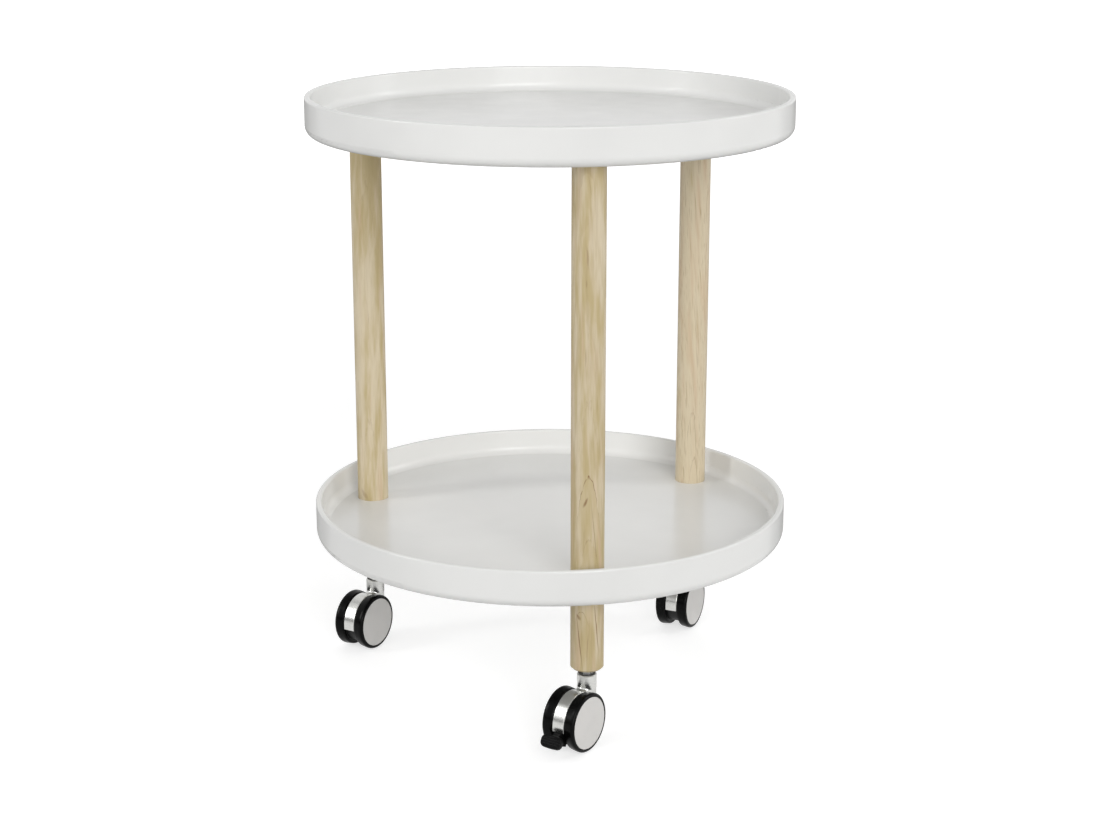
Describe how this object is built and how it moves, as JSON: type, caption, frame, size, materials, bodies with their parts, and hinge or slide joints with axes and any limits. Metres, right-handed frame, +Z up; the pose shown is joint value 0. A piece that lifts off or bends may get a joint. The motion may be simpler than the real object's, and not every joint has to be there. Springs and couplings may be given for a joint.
{
  "type": "serving cart",
  "caption": "Round tiered serving cart: rimmed white trays on turned wooden legs, rolling on swivelling twin-wheel casters with a foot brake.",
  "frame": {"origin": "on the floor, under the centre of both trays", "axes": "+Z up; -Y towards the front leg, the one with the braked caster; +X to the right as seen from the front"},
  "size_m": [0.48, 0.4916, 0.598],
  "materials": {
    "tray_lacquer": "satin white lacquer on moulded fibreboard",
    "leg_wood": "pale turned wood under clear matt lacquer",
    "insert_zinc": "plated threaded insert",
    "stud_steel": "zinc plated",
    "stem_steel": "bright plated",
    "housing_chrome": "polished chrome plate on a casting",
    "core_plastic": "black moulded plastic",
    "axle_steel": "bright drawn",
    "hub_plastic": "black moulded plastic",
    "tyre_rubber": "satin black soft tread",
    "cap_plastic": "fine satin silver grey",
    "pedal_plastic": "black moulded plastic, ribbed"
  },
  "bodies": {
    "cart_frame": {"top_tray": "tray_lacquer", "lower_tray": "tray_lacquer", "post_front": "leg_wood", "foot_front": "leg_wood", "caster_stem_front": "stem_steel", "post_right": "leg_wood", "foot_right": "leg_wood", "caster_stem_right": "stem_steel", "post_left": "leg_wood", "foot_left": "leg_wood", "caster_stem_left": "stem_steel", "leg_inserts": "insert_zinc", "tray_inserts": "insert_zinc", "upper_studs": "stud_steel", "lower_studs": "stud_steel", "swivel_washers": "core_plastic", "swivel_rings": "stud_steel"},
    "front_caster": {"caster_housing_front": "housing_chrome", "caster_core_front": "core_plastic", "caster_axle_front": "axle_steel", "axle_clips_front": "axle_steel", "brake_pivot_pin": "axle_steel"},
    "front_left_wheel": {"wheel_hub_front_left": "hub_plastic", "tyre_front_left": "tyre_rubber", "wheel_cap_front_left": "cap_plastic"},
    "front_right_wheel": {"wheel_hub_front_right": "hub_plastic", "tyre_front_right": "tyre_rubber", "wheel_cap_front_right": "cap_plastic"},
    "right_caster": {"caster_housing_right": "housing_chrome", "caster_core_right": "core_plastic", "caster_axle_right": "axle_steel", "axle_clips_right": "axle_steel"},
    "right_left_wheel": {"wheel_hub_right_left": "hub_plastic", "tyre_right_left": "tyre_rubber", "wheel_cap_right_left": "cap_plastic"},
    "right_right_wheel": {"wheel_hub_right_right": "hub_plastic", "tyre_right_right": "tyre_rubber", "wheel_cap_right_right": "cap_plastic"},
    "left_caster": {"caster_housing_left": "housing_chrome", "caster_core_left": "core_plastic", "caster_axle_left": "axle_steel", "axle_clips_left": "axle_steel"},
    "left_left_wheel": {"wheel_hub_left_left": "hub_plastic", "tyre_left_left": "tyre_rubber", "wheel_cap_left_left": "cap_plastic"},
    "left_right_wheel": {"wheel_hub_left_right": "hub_plastic", "tyre_left_right": "tyre_rubber", "wheel_cap_left_right": "cap_plastic"},
    "brake_lever": {"brake_pedal": "pedal_plastic", "brake_bar": "axle_steel"}
  },
  "joints": [
    {"name": "front_swivel", "type": "hinge", "parent": "cart_frame", "child": "front_caster", "pos_m": [0, -0.2, 0.06], "axis": [0, 0, 1], "continuous": true},
    {"name": "front_left_wheel_spin", "type": "hinge", "parent": "front_caster", "child": "front_left_wheel", "pos_m": [-0.0152, -0.2152, 0.029], "axis": [0.7071, -0.7071, 0], "continuous": true},
    {"name": "front_right_wheel_spin", "type": "hinge", "parent": "front_caster", "child": "front_right_wheel", "pos_m": [-0.0152, -0.2152, 0.029], "axis": [0.7071, -0.7071, 0], "continuous": true},
    {"name": "right_swivel", "type": "hinge", "parent": "cart_frame", "child": "right_caster", "pos_m": [0.1732, 0.1, 0.06], "axis": [0, 0, 1], "continuous": true},
    {"name": "right_left_wheel_spin", "type": "hinge", "parent": "right_caster", "child": "right_left_wheel", "pos_m": [0.16057, 0.08261, 0.029], "axis": [0.809, -0.5878, 0], "continuous": true},
    {"name": "right_right_wheel_spin", "type": "hinge", "parent": "right_caster", "child": "right_right_wheel", "pos_m": [0.16057, 0.08261, 0.029], "axis": [0.809, -0.5878, 0], "continuous": true},
    {"name": "left_swivel", "type": "hinge", "parent": "cart_frame", "child": "left_caster", "pos_m": [-0.1732, 0.1, 0.06], "axis": [0, 0, 1], "continuous": true},
    {"name": "left_left_wheel_spin", "type": "hinge", "parent": "left_caster", "child": "left_left_wheel", "pos_m": [-0.18759, 0.08402, 0.029], "axis": [0.7431, -0.6691, 0], "continuous": true},
    {"name": "left_right_wheel_spin", "type": "hinge", "parent": "left_caster", "child": "left_right_wheel", "pos_m": [-0.18759, 0.08402, 0.029], "axis": [0.7431, -0.6691, 0], "continuous": true},
    {"name": "brake_pedal_press", "type": "hinge", "parent": "front_caster", "child": "brake_lever", "pos_m": [-0.02655, -0.22655, 0.01903], "axis": [0.7071, -0.7071, 0], "range_deg": [0, 18]}
  ]
}
